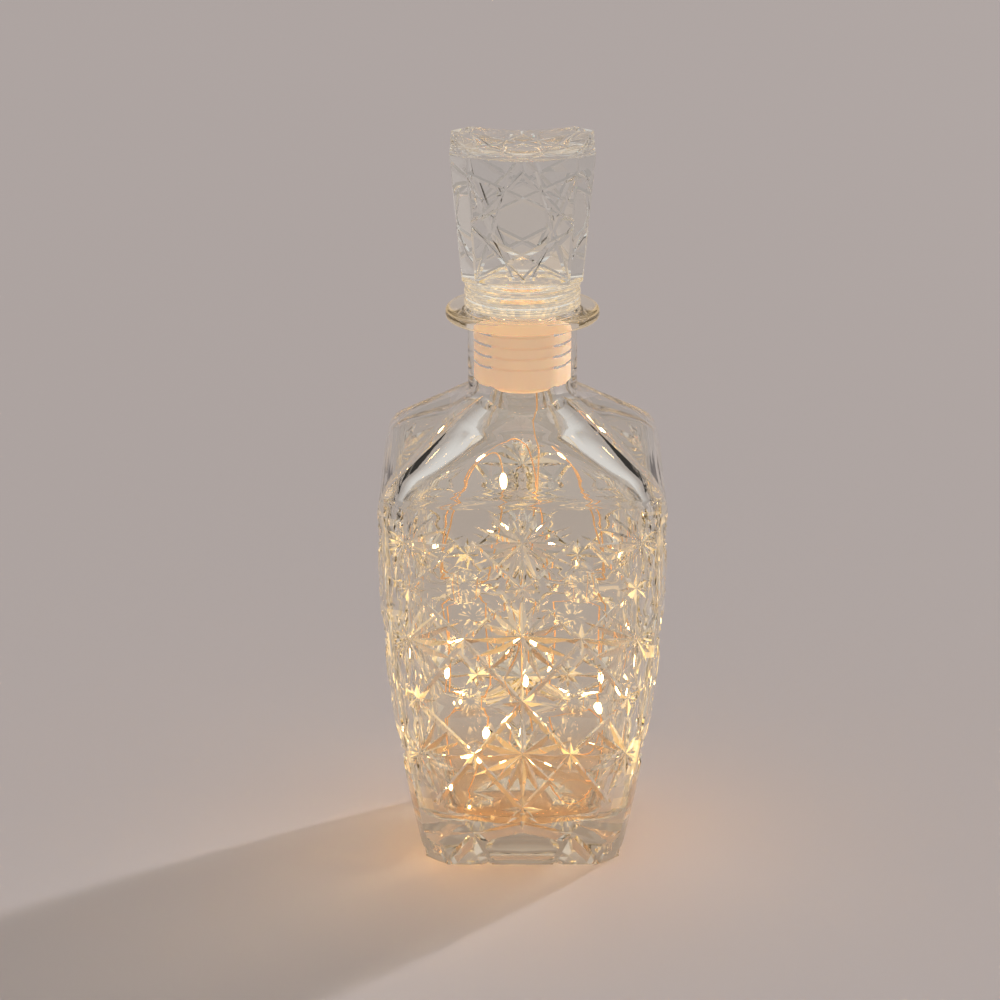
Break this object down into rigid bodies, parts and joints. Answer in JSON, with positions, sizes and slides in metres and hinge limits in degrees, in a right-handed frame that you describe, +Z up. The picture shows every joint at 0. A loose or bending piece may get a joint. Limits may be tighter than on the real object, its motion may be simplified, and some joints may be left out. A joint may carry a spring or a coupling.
{
  "type": "bottle light",
  "caption": "Square cut-glass decanter with a faceted stopper and ribbed plug that holds a battery pod and a string of warm micro lamps inside the bottle.",
  "frame": {"origin": "centre of the base, on the surface the bottle stands on", "axes": "+Z up along the bottle's axis, -Y towards the front face, +X to the right"},
  "size_m": [0.098, 0.098, 0.25],
  "materials": {
    "clear_glass": "polished, clear",
    "stopper_glass": "polished, faintly green",
    "plug_plastic": "translucent, satin",
    "pod_plastic": "satin",
    "seal_rubber": "matte",
    "board_laminate": "solder mask",
    "chip_ceramic": "matte",
    "contact_metal": "plated",
    "spring_metal": "drawn wire",
    "switch_plastic": "satin",
    "slider_plastic": "satin",
    "grommet_rubber": "soft",
    "wire_copper": "clear enamel over copper",
    "bead_resin": "clear resin",
    "lamp_chip": "lit, warm white",
    "cell_steel": "plated"
  },
  "bodies": {
    "bottle": {"bottle": "clear_glass", "bottle_neck": "clear_glass", "light_wire": "wire_copper", "light_wire_drop": "wire_copper", "led_beads": "bead_resin", "led_chips": "lamp_chip", "wire_tip": "bead_resin"},
    "plug": {"plug_seal": "plug_plastic", "pod_housing": "pod_plastic", "pod_lid": "pod_plastic", "pod_o_ring": "seal_rubber", "circuit_board": "board_laminate", "resistor": "chip_ceramic", "contact_plate": "contact_metal", "contact_strip": "contact_metal", "battery_1": "cell_steel", "battery_2": "cell_steel", "battery_3": "cell_steel", "switch_body": "switch_plastic", "wire_grommet": "grommet_rubber", "pod_leads": "wire_copper"},
    "stopper": {"stopper": "stopper_glass"},
    "battery_cap": {"battery_cap": "pod_plastic", "cap_contact": "contact_metal", "contact_spring": "spring_metal"},
    "switch_slider": {"switch_slider": "slider_plastic"}
  },
  "joints": [
    {"name": "stopper_lift", "type": "slide", "parent": "bottle", "child": "plug", "axis": [0, 0, 1], "range_m": [0, 0.04], "deforming": ["light_wire_drop"]},
    {"name": "stopper_turn", "type": "hinge", "parent": "plug", "child": "stopper", "pos_m": [0, 0, 0.193], "axis": [0, 0, 1], "range_deg": [-180, 180]},
    {"name": "cap_turn", "type": "hinge", "parent": "plug", "child": "battery_cap", "pos_m": [-0.0014, 0, 0.1668], "axis": [0, 0, 1], "range_deg": [0, 90]},
    {"name": "switch_slide", "type": "slide", "parent": "plug", "child": "switch_slider", "axis": [0, -1, 0], "range_m": [0, 0.0016]}
  ]
}
